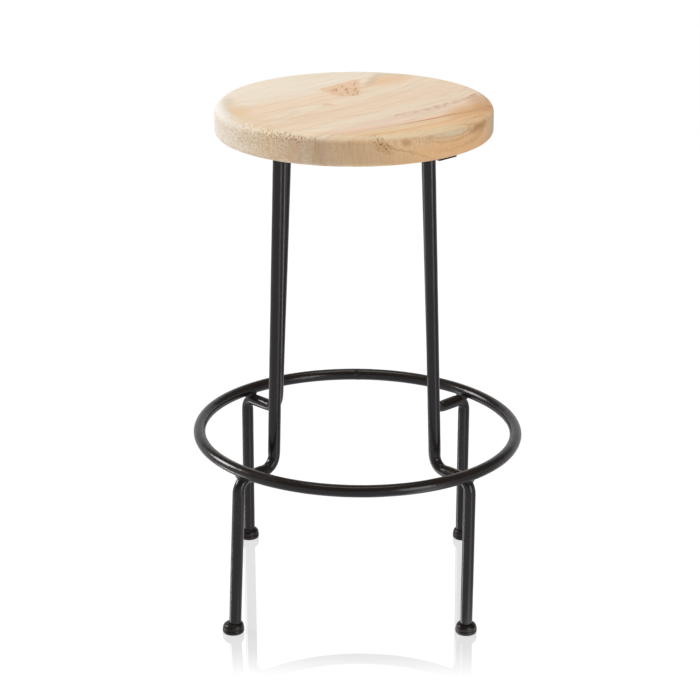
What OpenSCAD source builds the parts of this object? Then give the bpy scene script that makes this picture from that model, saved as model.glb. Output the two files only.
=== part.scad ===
// Round wooden stool on four bent steel rods, tied together by a footrest ring.
// Millimetres. +Z is up, the floor is z = 0 and the Z axis is the middle of the seat.
// The front is towards -Y, and left and right are as seen from the front.

/* [Seat] */
// Height of the seat's top face above the floor
seat_h = 660; // [600:5:760]
// Diameter of the seat
seat_d = 349; // [340:1:420]
// Thickness of the seat
seat_t = 38; // [30:1:45]
// Radius of the seat's rounded top edge
seat_top_round = 12; // [3:0.5:14]
// Radius of the seat's eased bottom edge
seat_bottom_round = 5; // [1:0.5:8]

/* [Bars under the seat] */
// Width of the two flat bars that cross under the seat
bar_w = 30; // [26:1:40]
// Thickness of each flat bar
bar_t = 2.5; // [2:0.5:6]
// How far a bar runs on past the middle of the leg
bar_overhang = 33; // [16:1:34]
// Radius of a bar's corners
bar_corner_round = 1; // [0.5:0.5:4]

/* [Legs] */
// Diameter of the rod that the legs and the footrest ring are bent from
rod_d = 15; // [12:0.5:16]
// Distance from the middle of the seat to a leg's upper end
leg_top_r = 129; // [110:1:134]
// How far a leg steps out from its knee to its lower part
step_out = 61; // [52:1:70]
// How much thinner the rod's radius is drawn in its bends
bend_thinning = 0.25; // [0.2:0.05:0.5]
// Length over which the rod tapers into a bend
bend_taper_l = 4; // [4:0.5:6]
// Bend radius of the knee, at the rod's centre line
knee_bend_r = 18; // [16:1:24]
// Bend radius of the shoulder below the ring, at the rod's centre line
shoulder_bend_r = 14; // [12:1:18]
// How far the lower leg stands outside the ring's centre line
leg_outset = 1; // [0:0.5:4]

/* [Hand bending] */
// How far to the right on its bar the front left leg's upper end is welded
front_left_top = 1; // [-4:0.1:4]
// The same for the front right leg
front_right_top = 0.8; // [-4:0.1:4]
// The same for the rear left leg
rear_left_top = 3.8; // [-4:0.1:4]
// The same for the rear right leg
rear_right_top = 1.5; // [-4:0.1:4]
// How far to the right the front left leg's bends lie
front_left_sway = 2.9; // [-4:0.1:4]
// The same for the front right leg
front_right_sway = -1.6; // [-4:0.1:4]
// The same for the rear left leg
rear_left_sway = -0.1; // [-4:0.1:4]
// The same for the rear right leg
rear_right_sway = 2.4; // [-4:0.1:4]
// How far to the right the front left leg's lower end stands
front_left_foot = -4.9; // [-5:0.1:5]
// The same for the front right leg
front_right_foot = -3.3; // [-5:0.1:5]
// The same for the rear left leg
rear_left_foot = -0.7; // [-5:0.1:5]
// The same for the rear right leg
rear_right_foot = 1.7; // [-5:0.1:5]
// How far to the right of its rod the front left foot cap is pushed on
front_left_cap = -2.2; // [-2.5:0.1:2.5]
// The same for the front right foot cap
front_right_cap = 0; // [-2.5:0.1:2.5]
// The same for the rear left foot cap
rear_left_cap = -0.5; // [-2.5:0.1:2.5]
// The same for the rear right foot cap
rear_right_cap = 2.2; // [-2.5:0.1:2.5]

/* [Footrest ring] */
// Height of the ring's centre line above the floor
ring_z = 221; // [180:1:300]
// Radius of the ring's centre line
ring_r = 207; // [195:1:225]
// How far the welded ring sits to the right of the seat's axis
ring_shift = 4.4; // [0:0.1:4.4]
// Width of the butt weld that closes the ring
seam_w = 3; // [2:0.5:6]

/* [Welds] */
// Leg length of the fillet round the top of each leg
top_fillet = 3; // [2:0.5:4]
// Leg length of the fillets where the two bars cross
cross_fillet = 2.5; // [2:0.5:3]
// Radius of the neck of weld between ring and leg
neck_r = 6.2; // [5:0.1:6.8]
// Radius of that neck where it flares out
neck_flare_r = 8.2; // [7.5:0.1:9]
// Half height of that neck
neck_half_h = 4.4; // [3:0.1:5]

/* [Seat screws] */
// Distance from the middle of the seat to each screw
screw_pitch_r = 85; // [60:1:90]
// Diameter of the screw's shank
screw_d = 4.5; // [3.5:0.5:5]
// Length of the screw under its head
screw_l = 25; // [20:1:28]
// Diameter of the screw's pan head
screw_head_d = 9; // [8:0.5:11]
// Height of the screw's pan head
screw_head_h = 3; // [2.5:0.5:4]
// Radius of the screw head's rounded edge
screw_head_round = 1.5; // [0.5:0.1:1.5]
// Diameter of the screw's blunt point
screw_point_d = 0.6; // [0.4:0.1:1]
// Length of each slot of the cross recess
recess_l = 5; // [3:0.5:6]
// Width of each slot of the cross recess
recess_w = 1.1; // [0.6:0.1:1.5]
// Depth of the cross recess
recess_depth = 1.6; // [0.5:0.1:2]
// Outer diameter of the spacers between the lower bar and the seat
spacer_d = 18; // [14:1:24]

/* [Feet] */
// Diameter of the rubber foot cap
cap_d = 26.5; // [24:0.5:32]
// Height of the rubber foot cap
cap_h = 13.5; // [12:0.5:20]
// Thickness of rubber under the washer
cap_base = 4; // [3:0.5:6]
// Radius of the cap's rounded shoulder
cap_top_round = 5.5; // [2:0.5:6]
// Radius of the cap's lower edge
cap_bottom_round = 2.5; // [1:0.5:4]
// Width of the groove round the cap, as a full circle
groove_w = 1; // [0.5:0.1:2]
// Depth of the groove round the cap
groove_depth = 0.3; // [0.1:0.1:0.5]
// Thickness of the steel washer between rod and rubber
washer_t = 1.5; // [1:0.5:2]
// Hole in the steel washer
washer_hole_d = 6; // [4:0.5:8]

/* [Clearances] */
// Gap between a weld and the round rods it joins
weld_gap = 0.1; // [0.05:0.05:0.3]
// Gap between a rod and its rubber cap
cap_gap = 0.05; // [0.05:0.05:0.3]
// Gap between the washer's edge and the bore of the rubber cap
washer_gap = 0.5; // [0.1:0.1:1]
// Gap between a screw's shank and its pilot hole
pilot_gap = 0.05; // [0.05:0.05:0.2]
// How much deeper a pilot hole is than the screw's point
pilot_extra = 1; // [0.5:0.5:2]
// Gap between a screw's shank and the holes in bars and spacers
screw_gap = 0.35; // [0.2:0.05:0.6]

/* [Hidden] */
$fn = 96;

// Directions of the four legs, as angles from +X
REAR_RIGHT = 45;
REAR_LEFT = 135;
FRONT_LEFT = 225;
FRONT_RIGHT = 315;
LEGS = [REAR_RIGHT, REAR_LEFT, FRONT_LEFT, FRONT_RIGHT];
UPPER_BAR = REAR_RIGHT;
LOWER_BAR = REAR_LEFT;
ENDS = [1, -1];

// Lengths and angles that neighbouring stretches of rod share are whole thousandths
function snap(x) = round(x * 1000) / 1000;

// The value of the four that belongs to the leg at angle a
function of_leg(a, rear_right, rear_left, front_left, front_right) =
    a == REAR_RIGHT ? rear_right : a == REAR_LEFT ? rear_left : a == FRONT_LEFT ? front_left : front_right;
function sway(a) = of_leg(a, rear_right_sway, rear_left_sway, front_left_sway, front_right_sway);
function foot_shift(a) = of_leg(a, rear_right_foot, rear_left_foot, front_left_foot, front_right_foot);
function top_shift(a) = of_leg(a, rear_right_top, rear_left_top, front_left_top, front_right_top);
function cap_shift(a) = of_leg(a, rear_right_cap, rear_left_cap, front_left_cap, front_right_cap);

rod_r = rod_d / 2;
seat_z = seat_h - seat_t;
upper_bar_z = seat_z - bar_t;
lower_bar_z = upper_bar_z - bar_t;
bar_l = 2 * (leg_top_r + bar_overhang);

// The ring rests on each leg's shoulder: its centre line is this far from the bend's centre
touch_r = shoulder_bend_r + rod_d - bend_thinning + weld_gap;
leg_low_r = ring_r + leg_outset;
shoulder_r = leg_low_r - shoulder_bend_r;
knee_r = leg_low_r - step_out + knee_bend_r;

// Where the ring's centre line crosses a leg's plane, out from the seat's axis
function ring_reach(a) = ring_shift * cos(a) + sqrt(pow(ring_r, 2) - pow(ring_shift * sin(a), 2));
// How high the ring then lies over the centre of a shoulder bend that is some way further out
function rise_over(a, further) = sqrt(pow(touch_r, 2) - pow(ring_reach(a) - shoulder_r - further, 2));

rise_right = rise_over(REAR_RIGHT, 0);
rise_left = rise_over(REAR_LEFT, 0);
x_right = ring_reach(REAR_RIGHT) * cos(REAR_RIGHT);
x_left = ring_reach(REAR_LEFT) * cos(REAR_LEFT);
ring_tilt = atan((rise_left - rise_right) / (x_right - x_left));
straight_z = ring_z - (rise_left + rise_right) / 2;
ring_centre_z = straight_z + rise_right + (x_right - ring_shift) * tan(ring_tilt);
seam_angle = 2 * asin(seam_w / 2 / ring_r);
SEAM_AT = 90;

// A leg's upper end meets the bar that it is welded to
function leg_top_z(a) = a % 180 == UPPER_BAR ? upper_bar_z : lower_bar_z;

// A leg's sway also moves its bends a little in or out from under the ring
function ring_over(a) = ring_reach(a) - shoulder_r - sway(a) * cos(a);
function ring_rise(a) = rise_over(a, sway(a) * cos(a));
function shoulder_z(a) = snap(straight_z + rise_over(a, 0) - ring_rise(a));
function run_z(a) = shoulder_z(a) + shoulder_bend_r;
function knee_z(a) = run_z(a) + knee_bend_r;

// Lean of the straight upper part, from its end down to where it touches the knee bend
function lean(a) =
    let (out = knee_r - leg_top_r, down = leg_top_z(a) - knee_z(a))
    snap(atan(out / down) - asin(knee_bend_r / norm([out, down])));

// Places where a leg ends, and where its straight parts run into the bends
function top_place(a) = [leg_top_r * cos(a) + top_shift(a), leg_top_r * sin(a), leg_top_z(a)];
function knee_end(a) =
    let (out = knee_r - knee_bend_r * cos(lean(a)))
    [out * cos(a) + sway(a), out * sin(a), knee_z(a) - knee_bend_r * sin(lean(a))];
function shoulder_end(a) = [leg_low_r * cos(a) + sway(a), leg_low_r * sin(a), shoulder_z(a)];
function foot_place(a) = [leg_low_r * cos(a) + foot_shift(a), leg_low_r * sin(a), 0];

// Turns of the two straight parts that make up for the hand bending
function upper_turn(a) =
    let (along = top_place(a).x - knee_end(a).x, up = leg_top_z(a) - knee_end(a).z)
    atan(along / up) - atan((along + sway(a) - top_shift(a)) / up);
function low_turn(a) = atan((shoulder_end(a).x - foot_place(a).x) / (shoulder_end(a).z - rod_end_z));

rod_end_z = cap_base + washer_t;
washer_d = rod_d + 2 * (cap_gap - washer_gap);
groove_z = cap_bottom_round + (cap_h - cap_bottom_round - cap_top_round) / 2;
pilot_l = screw_l - bar_t + pilot_extra;
screw_tip_l = screw_d;
// Share of a taper that runs on into the bend, the two surfaces crossing halfway along it
TAPER_LAP = 1 / 3;
// Eased edge where a screw's head sits on its bar
HEAD_EDGE = 0.4;
// How far a cut runs on past the faces that it opens
CUT = 1;

// Half outline of a turned disc: flat faces at z0 and z1, rounded outer edges
module disc_outline(r, z0, z1, bottom_round, top_round) {
    h = z1 - z0;
    translate([0, z0]) square([r - max(bottom_round, top_round), h]);
    translate([0, z0]) square([r - bottom_round, h - top_round]);
    translate([0, z0 + bottom_round]) square([r - top_round, h - bottom_round]);
    translate([0, z0 + bottom_round]) square([r, h - bottom_round - top_round]);
    translate([r - bottom_round, z0 + bottom_round]) circle(r = bottom_round);
    translate([r - top_round, z1 - top_round]) circle(r = top_round);
}

// Drills or copies at the two screw places of one bar
module at_bar_screws(bar) {
    for (end = ENDS)
        rotate([0, 0, bar]) translate([end * screw_pitch_r, 0, 0]) children();
}

module seat() {
    color("burlywood") difference() {
        rotate_extrude() disc_outline(seat_d / 2, seat_z, seat_h, seat_bottom_round, seat_top_round);
        for (bar = [UPPER_BAR, LOWER_BAR])
            at_bar_screws(bar)
                translate([0, 0, seat_z - CUT]) cylinder(r = screw_d / 2 + pilot_gap, h = pilot_l + CUT);
    }
}

module bar(angle, z) {
    color("#2b292a") difference() {
        translate([0, 0, z]) rotate([0, 0, angle]) linear_extrude(bar_t) union() {
            square([bar_l - 2 * bar_corner_round, bar_w], center = true);
            square([bar_l, bar_w - 2 * bar_corner_round], center = true);
            for (x = ENDS, y = ENDS)
                translate([x * (bar_l / 2 - bar_corner_round), y * (bar_w / 2 - bar_corner_round)])
                    circle(r = bar_corner_round);
        }
        at_bar_screws(angle)
            translate([0, 0, z - CUT]) cylinder(r = screw_d / 2 + screw_gap, h = bar_t + 2 * CUT);
    }
}

module seat_bar_upper() {
    bar(UPPER_BAR, upper_bar_z);
}

module seat_bar_lower() {
    bar(LOWER_BAR, lower_bar_z);
}

// Fillets in the two corners under the upper bar, along the lower bar's edges
module bar_cross_weld() {
    color("#242223")
    for (side = ENDS)
        rotate([0, 0, LOWER_BAR]) translate([0, side * bar_w / 2, upper_bar_z])
            rotate([90, 0, side * 90]) linear_extrude(bar_w, center = true)
                polygon([[0, 0], [cross_fillet, 0], [0, -cross_fillet]]);
}

module bar_spacers() {
    color("silver") at_bar_screws(LOWER_BAR) difference() {
        translate([0, 0, upper_bar_z]) cylinder(d = spacer_d, h = bar_t);
        translate([0, 0, upper_bar_z - CUT]) cylinder(r = screw_d / 2 + screw_gap, h = bar_t + 2 * CUT);
    }
}

// One wood screw, its head's upper face at z = 0 and its point up
module wood_screw() {
    cylinder(d = screw_d, h = screw_l - screw_tip_l);
    translate([0, 0, screw_l - screw_tip_l]) cylinder(d1 = screw_d, d2 = screw_point_d, h = screw_tip_l);
    difference() {
        rotate_extrude() disc_outline(screw_head_d / 2, -screw_head_h, 0, screw_head_round, HEAD_EDGE);
        for (turn = [0, 90])
            rotate([0, 0, turn]) translate([0, 0, -screw_head_h])
                cube([recess_l, recess_w, 2 * recess_depth], center = true);
    }
}

module seat_screws() {
    color("silver") {
        at_bar_screws(UPPER_BAR) translate([0, 0, upper_bar_z]) wood_screw();
        at_bar_screws(LOWER_BAR) translate([0, 0, lower_bar_z]) wood_screw();
    }
}

// A bend in a leg's plane: rod radius r round a centre, from one angle through another
module bend(centre_r, centre_z, bend_r, from, through, r) {
    translate([centre_r, 0, centre_z]) rotate([90, 0, 0])
        rotate_extrude(angle = through, start = from) translate([bend_r, 0]) circle(r = r);
}

// A straight rod from z = 0 up, its lower end tapered to run into a bend that starts there
module tapered_rod(r, h) {
    lap = bend_taper_l * TAPER_LAP;
    taper_top = bend_taper_l - lap;
    end_r = r - bend_thinning * bend_taper_l / (taper_top + lap / 2);
    translate([0, 0, taper_top]) cylinder(r = r, h = h - taper_top);
    translate([0, 0, -lap]) cylinder(r1 = end_r, r2 = r, h = bend_taper_l);
}

// Sets what lies in the leg's plane at angle a, and moves it by the leg's sway
module in_leg_plane(a) {
    translate([sway(a), 0, 0]) rotate([0, 0, a]) children();
}

// Turns what is drawn along Z to run along the upper part of the leg at angle a
module along_upper(a) {
    rotate([0, upper_turn(a), 0]) rotate([0, 0, a]) rotate([0, -lean(a), 0]) children();
}

// Everything over the bar face that a leg ends at, round that leg
module over_leg(a) {
    translate(top_place(a) + [0, 0, rod_d]) cube(2 * rod_d, center = true);
}

// The bent rod of the leg at angle a, drawn with any rod radius so that welds can be cut to it
module leg_rod(a, r) {
    bent_r = r - bend_thinning;
    upper_l = norm([leg_top_z(a) - knee_z(a), knee_r - leg_top_r]) + rod_d;
    low_l = (shoulder_z(a) - rod_end_z) / cos(low_turn(a)) + CUT;
    difference() {
        union() {
            translate(knee_end(a)) along_upper(a) tapered_rod(r, upper_l);
            in_leg_plane(a) {
                bend(knee_r, knee_z(a), knee_bend_r, 180 + lean(a), 90 - lean(a), bent_r);
                translate([knee_r, 0, run_z(a)]) rotate([0, 90, 0]) cylinder(r = bent_r, h = shoulder_r - knee_r);
                bend(shoulder_r, shoulder_z(a), shoulder_bend_r, 0, 90, bent_r);
            }
            translate(shoulder_end(a)) rotate([0, low_turn(a), 0]) mirror([0, 0, 1]) tapered_rod(r, low_l);
        }
        over_leg(a);
        translate(foot_place(a) + [0, 0, rod_end_z - rod_d]) cube(2 * rod_d, center = true);
    }
}

module leg(a) {
    color("#2b292a") leg_rod(a, rod_r);
}

// Fillet round the top of a leg, cut flush with the bar above it
module top_weld(a) {
    color("#242223") difference() {
        translate(top_place(a)) along_upper(a) rotate_extrude()
            polygon([
                [rod_r + weld_gap, -top_fillet], [rod_r + top_fillet, 0],
                [rod_r + top_fillet, top_fillet], [rod_r + weld_gap, top_fillet]
            ]);
        over_leg(a);
    }
}

// The ring's rod over an arc that starts at an angle, with any rod radius
module ring_rod(from, arc, r) {
    translate([ring_shift, 0, ring_centre_z]) rotate([0, ring_tilt, 0]) rotate([0, 0, from])
        rotate_extrude(angle = arc, $fn = 180) translate([ring_r, 0]) circle(r = r);
}

module footrest_ring() {
    color("#2b292a") ring_rod(SEAM_AT + seam_angle / 2, 360 - seam_angle, rod_r);
}

module ring_seam_weld() {
    color("#242223") ring_rod(SEAM_AT - seam_angle / 2, seam_angle, rod_r);
}

// Necked bead between the ring and the shoulder of a leg, cut to both rods
module ring_weld(a) {
    over = ring_over(a);
    rise = ring_rise(a);
    mid = (shoulder_bend_r + rod_r - bend_thinning + weld_gap / 2) / touch_r;
    flare = neck_flare_r - neck_r;
    hollow_r = (pow(neck_half_h, 2) + pow(flare, 2)) / (2 * flare);
    color("#242223") difference() {
        in_leg_plane(a) translate([shoulder_r + over * mid, 0, shoulder_z(a) + rise * mid])
            rotate([0, atan(over / rise), 0]) rotate_extrude() difference() {
                translate([0, -neck_half_h]) square([neck_flare_r, 2 * neck_half_h]);
                translate([neck_r + hollow_r, 0]) circle(r = hollow_r);
            }
        leg_rod(a, rod_r + weld_gap);
        ring_rod(0, 360, rod_r + weld_gap);
    }
}

module foot_cap(a) {
    color("#1c1b1c") translate(foot_place(a)) difference() {
        translate([cap_shift(a), 0, 0]) difference() {
            rotate_extrude() disc_outline(cap_d / 2, 0, cap_h, cap_bottom_round, cap_top_round);
            rotate_extrude()
                translate([cap_d / 2 + groove_w / 2 - groove_depth, groove_z]) circle(d = groove_w);
        }
        intersection() {
            translate([0, 0, rod_end_z]) rotate([0, low_turn(a), 0]) translate([0, 0, -cap_base])
                cylinder(r = rod_r + cap_gap, h = cap_base + cap_h);
            translate([0, 0, cap_base + cap_h]) cube(2 * cap_h, center = true);
        }
    }
}

module foot_washers() {
    color("silver")
    for (a = LEGS)
        translate(foot_place(a) + [0, 0, cap_base]) difference() {
            cylinder(d = washer_d, h = washer_t);
            translate([0, 0, -CUT]) cylinder(d = washer_hole_d, h = washer_t + 2 * CUT);
        }
}

seat();
seat_bar_upper();
seat_bar_lower();
bar_cross_weld();
bar_spacers();
seat_screws();
leg(FRONT_LEFT);  // leg_front_left
leg(FRONT_RIGHT);  // leg_front_right
leg(REAR_LEFT);  // leg_rear_left
leg(REAR_RIGHT);  // leg_rear_right
top_weld(FRONT_LEFT);  // top_weld_front_left
top_weld(FRONT_RIGHT);  // top_weld_front_right
top_weld(REAR_LEFT);  // top_weld_rear_left
top_weld(REAR_RIGHT);  // top_weld_rear_right
footrest_ring();
ring_seam_weld();
ring_weld(FRONT_LEFT);  // ring_weld_front_left
ring_weld(FRONT_RIGHT);  // ring_weld_front_right
ring_weld(REAR_LEFT);  // ring_weld_rear_left
ring_weld(REAR_RIGHT);  // ring_weld_rear_right
foot_cap(FRONT_LEFT);  // foot_cap_front_left
foot_cap(FRONT_RIGHT);  // foot_cap_front_right
foot_cap(REAR_LEFT);  // foot_cap_rear_left
foot_cap(REAR_RIGHT);  // foot_cap_rear_right
foot_washers();
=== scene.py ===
# Looks of a round wooden stool on four bent black rods with a footrest ring.
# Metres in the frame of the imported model: +Z is up, the floor is z = 0, the front is towards -Y.

import math

import bpy
import numpy as np
from mathutils import Matrix, Vector, noise

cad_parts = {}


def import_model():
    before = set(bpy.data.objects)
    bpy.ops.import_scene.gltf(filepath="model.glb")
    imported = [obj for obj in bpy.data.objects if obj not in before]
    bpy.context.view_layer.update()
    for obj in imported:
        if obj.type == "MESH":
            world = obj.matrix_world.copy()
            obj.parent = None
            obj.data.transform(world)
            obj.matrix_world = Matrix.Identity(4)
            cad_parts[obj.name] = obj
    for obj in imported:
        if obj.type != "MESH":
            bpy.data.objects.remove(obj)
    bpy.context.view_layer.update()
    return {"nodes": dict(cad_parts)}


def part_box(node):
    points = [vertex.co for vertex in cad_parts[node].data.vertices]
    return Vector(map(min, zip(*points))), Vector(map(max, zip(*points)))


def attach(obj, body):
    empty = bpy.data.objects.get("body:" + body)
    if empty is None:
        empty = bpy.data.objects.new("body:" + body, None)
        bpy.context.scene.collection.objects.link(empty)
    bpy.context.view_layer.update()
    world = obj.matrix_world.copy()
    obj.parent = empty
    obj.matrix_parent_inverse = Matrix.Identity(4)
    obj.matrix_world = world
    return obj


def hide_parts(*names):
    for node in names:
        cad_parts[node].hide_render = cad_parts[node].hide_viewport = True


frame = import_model()

MM = 0.001
UP = Vector((0, 0, 1))
RIGHT = Vector((1, 0, 0))
BODY = "root"

# Directions of the four legs, in degrees from +X
LEGS = {"rear_right": 45, "rear_left": 135, "front_left": 225, "front_right": 315}

# Bends of the rods, at their centre line
KNEE_BEND_R = 18 * MM
SHOULDER_BEND_R = 14 * MM
# How much rounder the hand-bent shoulders of the front legs are
ROUNDER = {"front_left": 3.5 * MM, "front_right": 2.5 * MM}
# How far a leg steps out from its knee to its lower part
STEP_OUT = 61 * MM
# Steps from one point to the next on a bend's centre line
BEND_STEPS = 18
# The paint's thickness on the rods
PAINT = 0.3 * MM

# The direction of the ring's seam, and half the gap in the ring's rod there, in degrees
SEAM_AT = 90
SEAM_HALF = 0.45


def around(degrees):
    """The level direction at an angle from +X."""
    angle = math.radians(degrees)
    return Vector((math.cos(angle), math.sin(angle), 0))


def vertices(node):
    """A CAD node's vertices as an array."""
    return np.array([v.co for v in frame["nodes"][node].data.vertices])


def smooth_step(value, low, high):
    """0 below low, 1 above high and a smooth rise between them."""
    t = min(max((value - low) / (high - low), 0), 1)
    return t * t * (3 - 2 * t)


# -------- material nodes


def tone(red, green, blue):
    """A colour given as it looks on a screen, from 0 to 255, as the shaders' linear colour."""
    def linear(value):
        share = value / 255
        return share / 12.92 if share <= 0.04045 else ((share + 0.055) / 1.055) ** 2.4
    return (linear(red), linear(green), linear(blue), 1)


class Nodes:
    """Short names for building the nodes of a material, a world or a lamp: most methods add one node
    and return its output."""

    def __init__(self, owner):
        owner.use_nodes = True
        self.owner = owner
        self.tree = owner.node_tree
        self.tree.nodes.clear()

    def add(self, kind, **settings):
        node = self.tree.nodes.new("ShaderNode" + kind)
        for key, value in settings.items():
            setattr(node, key, value)
        return node

    def feed(self, socket, value):
        """Link an output to a socket, or set a constant on it."""
        if isinstance(value, bpy.types.NodeSocket):
            self.tree.links.new(value, socket)
        else:
            socket.default_value = value

    def feed_all(self, sockets, values):
        for socket, value in zip(sockets, values):
            self.feed(socket, value)

    def math(self, operation, *values):
        node = self.add("Math", operation=operation)
        self.feed_all(node.inputs, values)
        return node.outputs[0]

    def plus(self, a, b):
        return self.math("ADD", a, b)

    def minus(self, a, b):
        return self.math("SUBTRACT", a, b)

    def vector(self, operation, *values):
        node = self.add("VectorMath", operation=operation)
        self.feed_all(node.inputs, values)
        return node.outputs["Value" if operation in ("DOT_PRODUCT", "LENGTH") else "Vector"]

    def dot(self, a, b):
        return self.vector("DOT_PRODUCT", a, b)

    def scaled(self, value, factor):
        return self.vector("MULTIPLY", value, (factor, factor, factor))

    def combine(self, x, y, z=0):
        node = self.add("CombineXYZ")
        self.feed_all(node.inputs, (x, y, z))
        return node.outputs[0]

    def split(self, value):
        node = self.add("SeparateXYZ")
        self.feed(node.inputs[0], value)
        return node.outputs

    def object_mm(self):
        """The place on the object, in millimetres."""
        return self.scaled(self.add("TexCoord").outputs["Object"], 1 / MM)

    def step(self, value, low, high, out_low=0, out_high=1):
        """A smooth step from out_low at low to out_high at high."""
        node = self.add("MapRange", interpolation_type="SMOOTHSTEP")
        self.feed_all(node.inputs, (value, low, high, out_low, out_high))
        return node.outputs["Result"]

    def band(self, value, centre, half, soft):
        """1 where a value lies within half of the centre, fading over soft."""
        off = self.math("ABSOLUTE", self.minus(value, centre))
        return self.step(off, half + soft, half)

    def noise(self, place, scale, detail=2, roughness=0.5, output="Fac"):
        """Smooth noise round 0.5 with scale features for each unit of the place."""
        node = self.add("TexNoise")
        self.feed(node.inputs["Vector"], place)
        node.inputs["Scale"].default_value = scale
        node.inputs["Detail"].default_value = detail
        node.inputs["Roughness"].default_value = roughness
        return node.outputs[output]

    def ramp(self, factor, *stops):
        """A colour ramp through (position, screen colour) stops."""
        node = self.add("ValToRGB")
        elements = node.color_ramp.elements
        while len(elements) < len(stops):
            elements.new(0.5)
        for element, (position, rgb) in zip(elements, stops):
            element.position = position
            element.color = tone(*rgb)
        self.feed(node.inputs["Fac"], factor)
        return node.outputs["Color"]

    def mix(self, factor, a, b, blend="MIX"):
        """Two colours mixed. A Mix node has sockets for each kind of value: 6, 7 and 2 are colours."""
        node = self.add("Mix", data_type="RGBA", blend_type=blend)
        self.feed(node.inputs[0], factor)
        self.feed(node.inputs[6], a)
        self.feed(node.inputs[7], b)
        return node.outputs[2]

    def chain(self, operation, values):
        result = values[0]
        for value in values[1:]:
            result = self.math(operation, result, value)
        return result

    def product(self, *values):
        return self.chain("MULTIPLY", values)

    def lowest(self, *values):
        return self.chain("MINIMUM", values)

    def highest(self, *values):
        return self.chain("MAXIMUM", values)

    def bump(self, height, distance, below=None):
        """Bump from a height of 0 to 1 that stands for a distance in metres, over another bump."""
        node = self.add("Bump")
        self.feed(node.inputs["Height"], height)
        node.inputs["Strength"].default_value = 1
        node.inputs["Distance"].default_value = distance
        if below is not None:
            self.feed(node.inputs["Normal"], below)
        return node.outputs["Normal"]

    def output(self, kind, shader):
        """The end of a material, a world or a light."""
        self.feed(self.add("Output" + kind).inputs["Surface"], shader)

    def shader(self, kind, **inputs):
        """A shader; numbers and colours go straight onto its sockets."""
        node = self.add(kind)
        for name, value in inputs.items():
            self.feed(node.inputs[name], value)
        return node.outputs[0]

    def blend(self, factor, a, b):
        """Two shaders mixed."""
        node = self.add("MixShader")
        self.feed_all(node.inputs, (factor, a, b))
        return node.outputs[0]

    def surface(self, colour, roughness, normal, **constants):
        """Ends a material and returns it."""
        inputs = {"Base Color": colour, "Roughness": roughness, "Normal": normal, **constants}
        self.output("Material", self.shader("BsdfPrincipled", **inputs))
        return self.owner


# -------- wood

# The board's grain runs from front left to rear right, and its pith lies at the front right edge.
# All sizes of the wood's figure are in millimetres.
GRAIN = around(45)
ACROSS = around(-45)
SEAT_R = 174.5
RIM_LENGTH = math.tau * SEAT_R


class Wood(Nodes):
    """Places on a board: x and y from the seat's middle, z from the floor, p along the grain, q across
    it, and u round the rim from +X. Stains, and in places painted sheen, shade and highlight, are laid
    over its colour one by one."""

    def __init__(self, owner):
        super().__init__(owner)
        self.place = self.object_mm()
        self.x, self.y, self.z = self.split(self.place)
        self.u = self.product(self.math("ARCTAN2", self.y, self.x), SEAT_R)
        self.p = self.dot(self.place, GRAIN)

        # The figure wanders across the grain; the long lines near the heart wander less
        across = self.dot(self.place, ACROSS)
        wander = self.noise(self.combine(self.product(self.p, 0.15), across, self.z), 0.03)
        wander = self.minus(wander, 0.5)
        self.straight_q = self.plus(across, self.product(wander, 3))
        self.q = self.plus(across, self.product(wander, 14))

        # 1 on the rim, on the top, on the rim's front, where the grain ends on it, and near the edge
        normal = self.add("NewGeometry").outputs["Normal"]
        self.side = self.step(self.math("ABSOLUTE", self.split(normal)[2]), 0.75, 0.2)
        self.top = self.minus(1, self.side)
        self.front = self.product(self.side, self.step(self.y, -20, -60))
        facing = self.math("ABSOLUTE", self.dot(normal, GRAIN))
        self.end_grain = self.product(self.side, self.step(facing, 0.5, 0.95))

        self.near_edge = self.step(self.vector("LENGTH", self.combine(self.x, self.y)), 156, 170)
        self.rim = self.combine(self.u, self.z)
        self.on_rim = self.uneven(self.rim, 0.11, 8)
        self.on_top = self.uneven(self.place, 0.09, 7)
        self.colour = None

    def uneven(self, flat, scale, reach):
        """A flat place pushed about by noise, so that what is drawn at it has uneven edges."""
        push = self.vector("SUBTRACT", self.noise(self.place, scale, output="Color"), (0.5, 0.5, 0.5))
        return self.vector("MULTIPLY", self.vector("ADD", flat, self.scaled(push, reach)), (1, 1, 0))

    def along_grain(self, stretch):
        """A place whose noise is drawn out along the grain."""
        return self.combine(self.product(self.p, stretch), self.q, self.z)

    def ellipse_reach(self, flat, centre, half, turn=0):
        """The distance from an ellipse's centre, as a share of the way to its edge."""
        offset = self.vector("SUBTRACT", flat, (centre[0], centre[1], 0))
        along = self.dot(offset, around(turn) / half[0])
        across = self.dot(offset, around(turn + 90) / half[1])
        return self.vector("LENGTH", self.combine(along, across))

    def ellipse(self, flat, centre, half, turn=0, soft=0.5):
        """1 inside an ellipse of given half axes and turn, fading over a share of its size."""
        return self.step(self.ellipse_reach(flat, centre, half, turn), 1 + soft, 1 - soft)

    def right_of(self, flat, start, end, soft):
        """1 to the right of the line from start to end, fading over soft."""
        direction = Vector((end[0] - start[0], end[1] - start[1], 0)).normalized()
        right = Vector((direction.y, -direction.x, 0))
        offset = self.vector("SUBTRACT", flat, (start[0], start[1], 0))
        return self.step(self.dot(offset, right), -soft, soft)

    def outside_bow(self, q, apex, bow, at):
        """How far a place lies outside a line across the board that bows along the grain."""
        along = self.minus(self.p, at)
        return self.plus(self.minus(q, apex), self.product(along, along, bow))

    def stain_and_light(self, mask, strength, rgb, blend="MIX"):
        """Lays a screen colour over what is drawn so far."""
        self.colour = self.mix(self.product(mask, strength), self.colour, tone(*rgb), blend)

    def spots(self, flat, share, rows):
        """Stains in ellipses: centre, half axes, turn, softness, strength and screen colour of each."""
        for centre, half, turn, soft, strength, rgb in rows:
            spot = self.product(self.ellipse(flat, centre, half, turn, soft), share)
            self.stain_and_light(spot, strength, rgb)


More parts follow.
